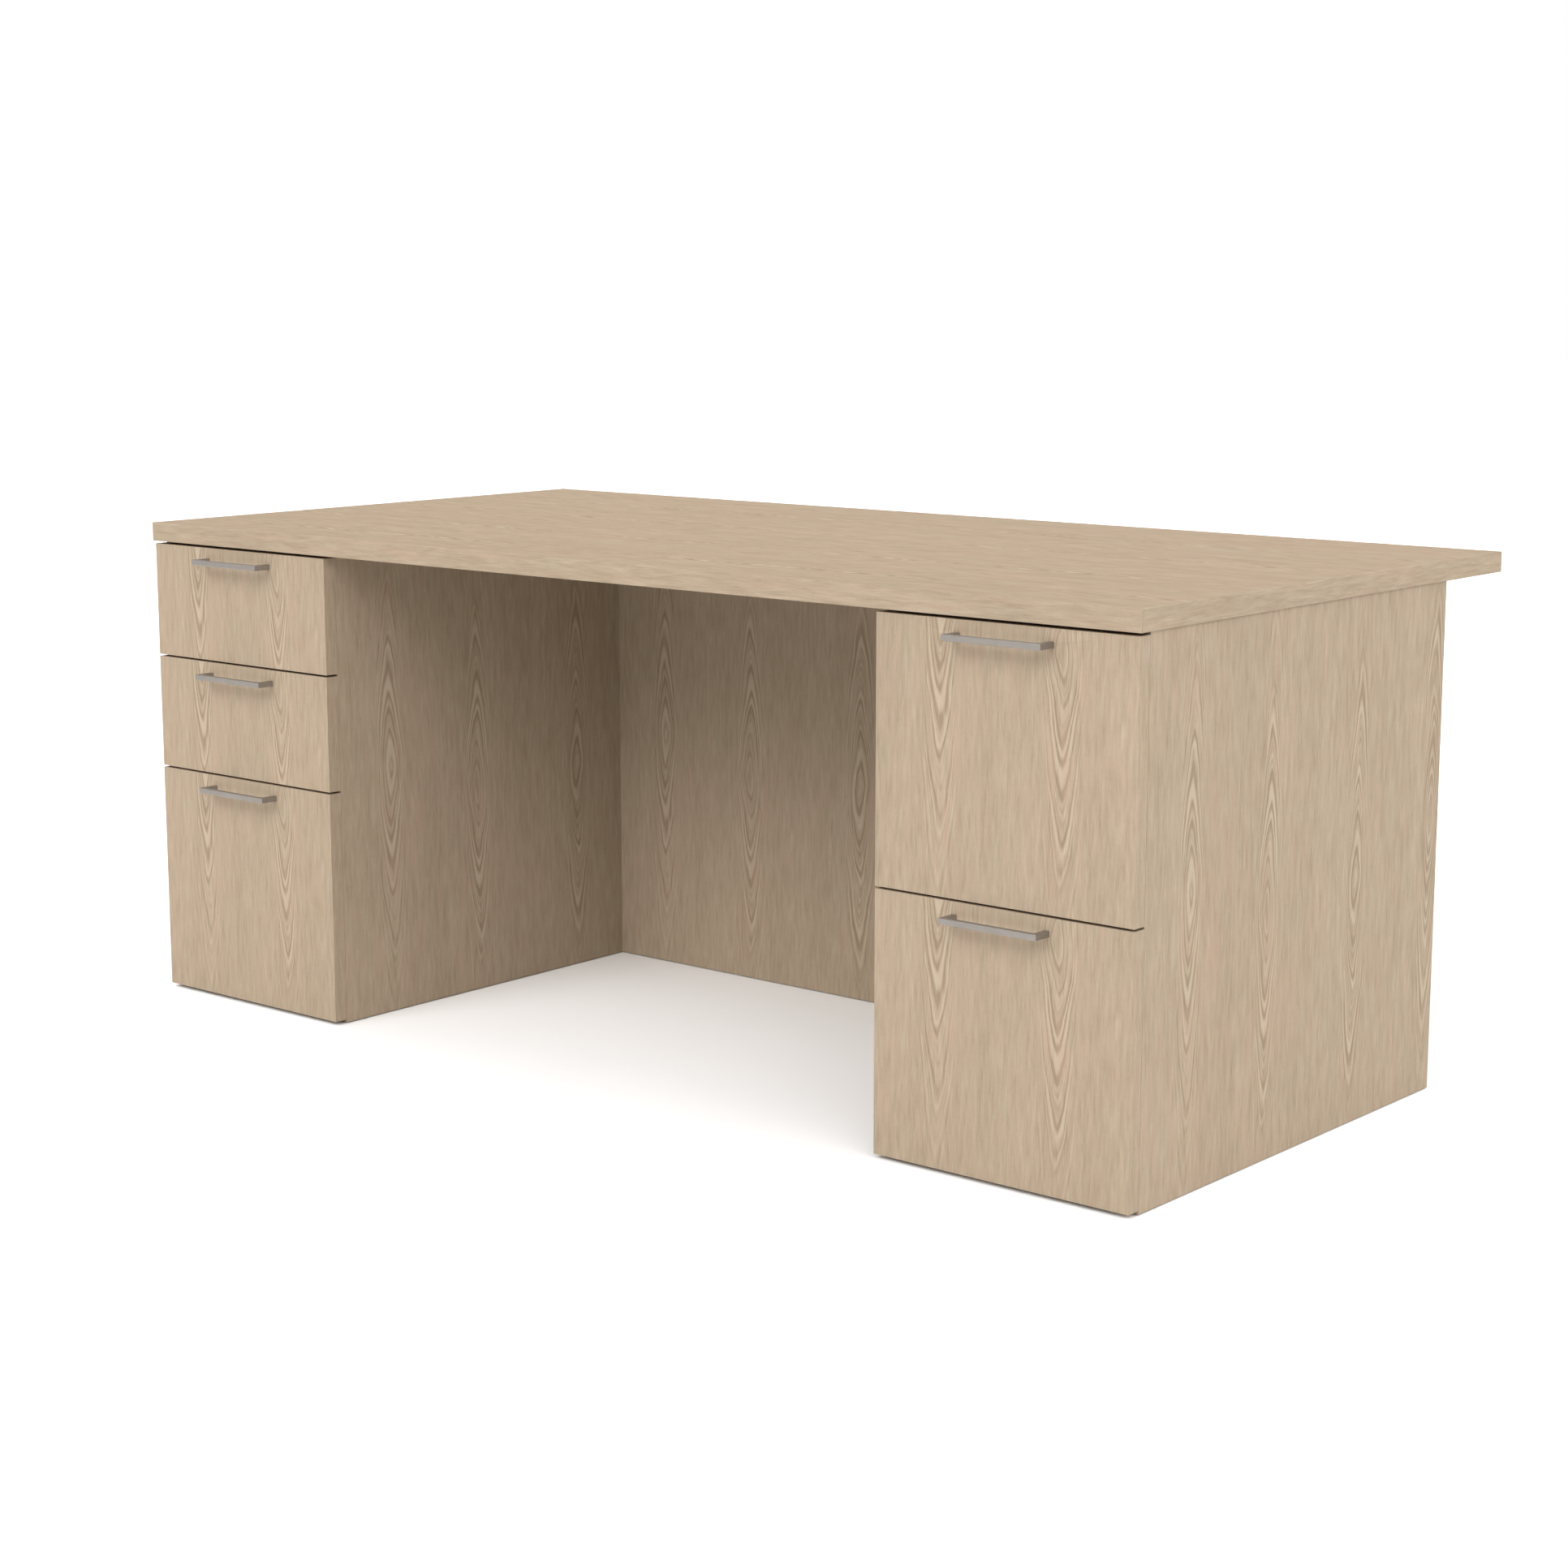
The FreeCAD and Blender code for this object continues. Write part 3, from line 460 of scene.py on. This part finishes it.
def drawer_boxes():
    """Boxes, top rails and dowels of pale wood, with the grain along each board."""
    for drawer in DRAWERS:
        low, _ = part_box(f"{drawer}_box_bottom")
        for kind, across, along in (("box_sides", Z, Y), ("box_ends", Z, X), ("box_bottom", X, Y)):
            node = f"{drawer}_{kind}"
            melamine_board(node, f"{node}_melamine", low, across, along)
        soften(f"{drawer}_box_sides", BOX_ROUND)
        soften(f"{drawer}_box_ends", BOX_ROUND)
    for node, name in (("pedestal_top_rails", "top_rails_melamine"), ("case_dowels", "dowel_beech")):
        low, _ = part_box(node)
        melamine_board(node, name, low, Y, X)


def hardware():
    """Pulls, slides, file rails, screws and glides."""
    pull = metal("satin_nickel", srgb(159, 153, 147), along=X, roughness=(0.50, 0.60), streak=0.08)
    zinc = metal("zinc_plate", srgb(190, 194, 198), along=Y, roughness=(0.26, 0.44), streak=0.18)
    rail = metal("satin_aluminium", srgb(205, 206, 208), along=Y, roughness=(0.30, 0.42), streak=0.08)
    screw = metal("zinc_screw", srgb(178, 180, 182), along=Z, roughness=(0.30, 0.46), streak=0.15)
    for drawer in DRAWERS:
        finish(f"{drawer}_pull", pull)
        weld(f"{drawer}_pull")
        finish(f"{drawer}_slide_members", zinc)
        finish(f"{drawer}_runners", zinc)
        finish(f"{drawer}_screws", screw)
        if f"{drawer}_file_rails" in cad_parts:
            finish(f"{drawer}_file_rails", rail)
    finish("slide_channels", zinc)
    finish("case_screws", screw)
    finish("floor_glides", nylon())


def floor():
    """A plain pale floor, wide enough to run out of every view."""
    corners = [(FLOOR_HALF * x, FLOOR_HALF * y, 0) for x, y in ((-1, -1), (1, -1), (1, 1), (-1, 1))]
    mesh = bpy.data.meshes.new("floor")
    mesh.from_pydata(corners, [], [(0, 1, 2, 3)])
    thing = bpy.data.objects.new("floor", mesh)
    bpy.context.scene.collection.objects.link(thing)
    material, graph, shader, seen = new_material("pale_floor")
    clouds = graph.noise(graph.times(seen["Object"], FLOOR_CLOUDS), FLOOR_DETAIL)
    graph.feed(shader.inputs["Base Color"], graph.mix(clouds, *FLOOR_COLOURS))
    shader.inputs["Roughness"].default_value = FLOOR_ROUGHNESS
    shader.inputs["Specular IOR Level"].default_value = FLOOR_SPECULAR
    mesh.materials.append(material)


def studio():
    """Soft lamps around the desk, and a white backdrop behind it."""
    world = bpy.data.worlds.new("studio")
    world.use_nodes = True
    graph = Graph(world.node_tree)
    direction = graph.add("TexCoord").outputs["Generated"]
    total = 0.0
    for place, strength, narrowness in LAMPS:
        facing = graph.dot(direction, place.normalized())
        glow = graph.math("POWER", graph.math("MAXIMUM", facing, 0.0), narrowness)
        total = graph.math("MULTIPLY_ADD", glow, strength, total)
    light = world.node_tree.nodes["Background"]
    light.inputs["Color"].default_value = WHITE
    graph.feed(light.inputs["Strength"], total)
    backdrop = graph.add("Background", {"Color": WHITE, "Strength": 1.0})
    chosen = graph.add("MixShader", {"Fac": graph.add("LightPath").outputs["Is Camera Ray"]})
    graph.feed(chosen.inputs[1], light.outputs[0])
    graph.feed(chosen.inputs[2], backdrop.outputs[0])
    graph.feed(world.node_tree.nodes["World Output"].inputs["Surface"], chosen.outputs[0])
    bpy.context.scene.world = world
    bpy.context.scene.view_settings.view_transform = "Standard"


def camera():
    """The photograph's viewpoint."""
    data = bpy.data.cameras.new("camera")
    data.sensor_width = SENSOR
    data.lens = SENSOR * FOCAL_PIXELS / PHOTO_SIDE
    thing = bpy.data.objects.new("camera", data)
    thing.location = CAMERA_PLACE
    thing.rotation_euler = (math.pi / 2 - CAMERA_PITCH, 0, CAMERA_YAW)
    bpy.context.scene.collection.objects.link(thing)
    bpy.context.scene.camera = thing


case_boards()
drawer_faces()
top_and_band()
drawer_boxes()
hardware()
floor()
studio()
camera()
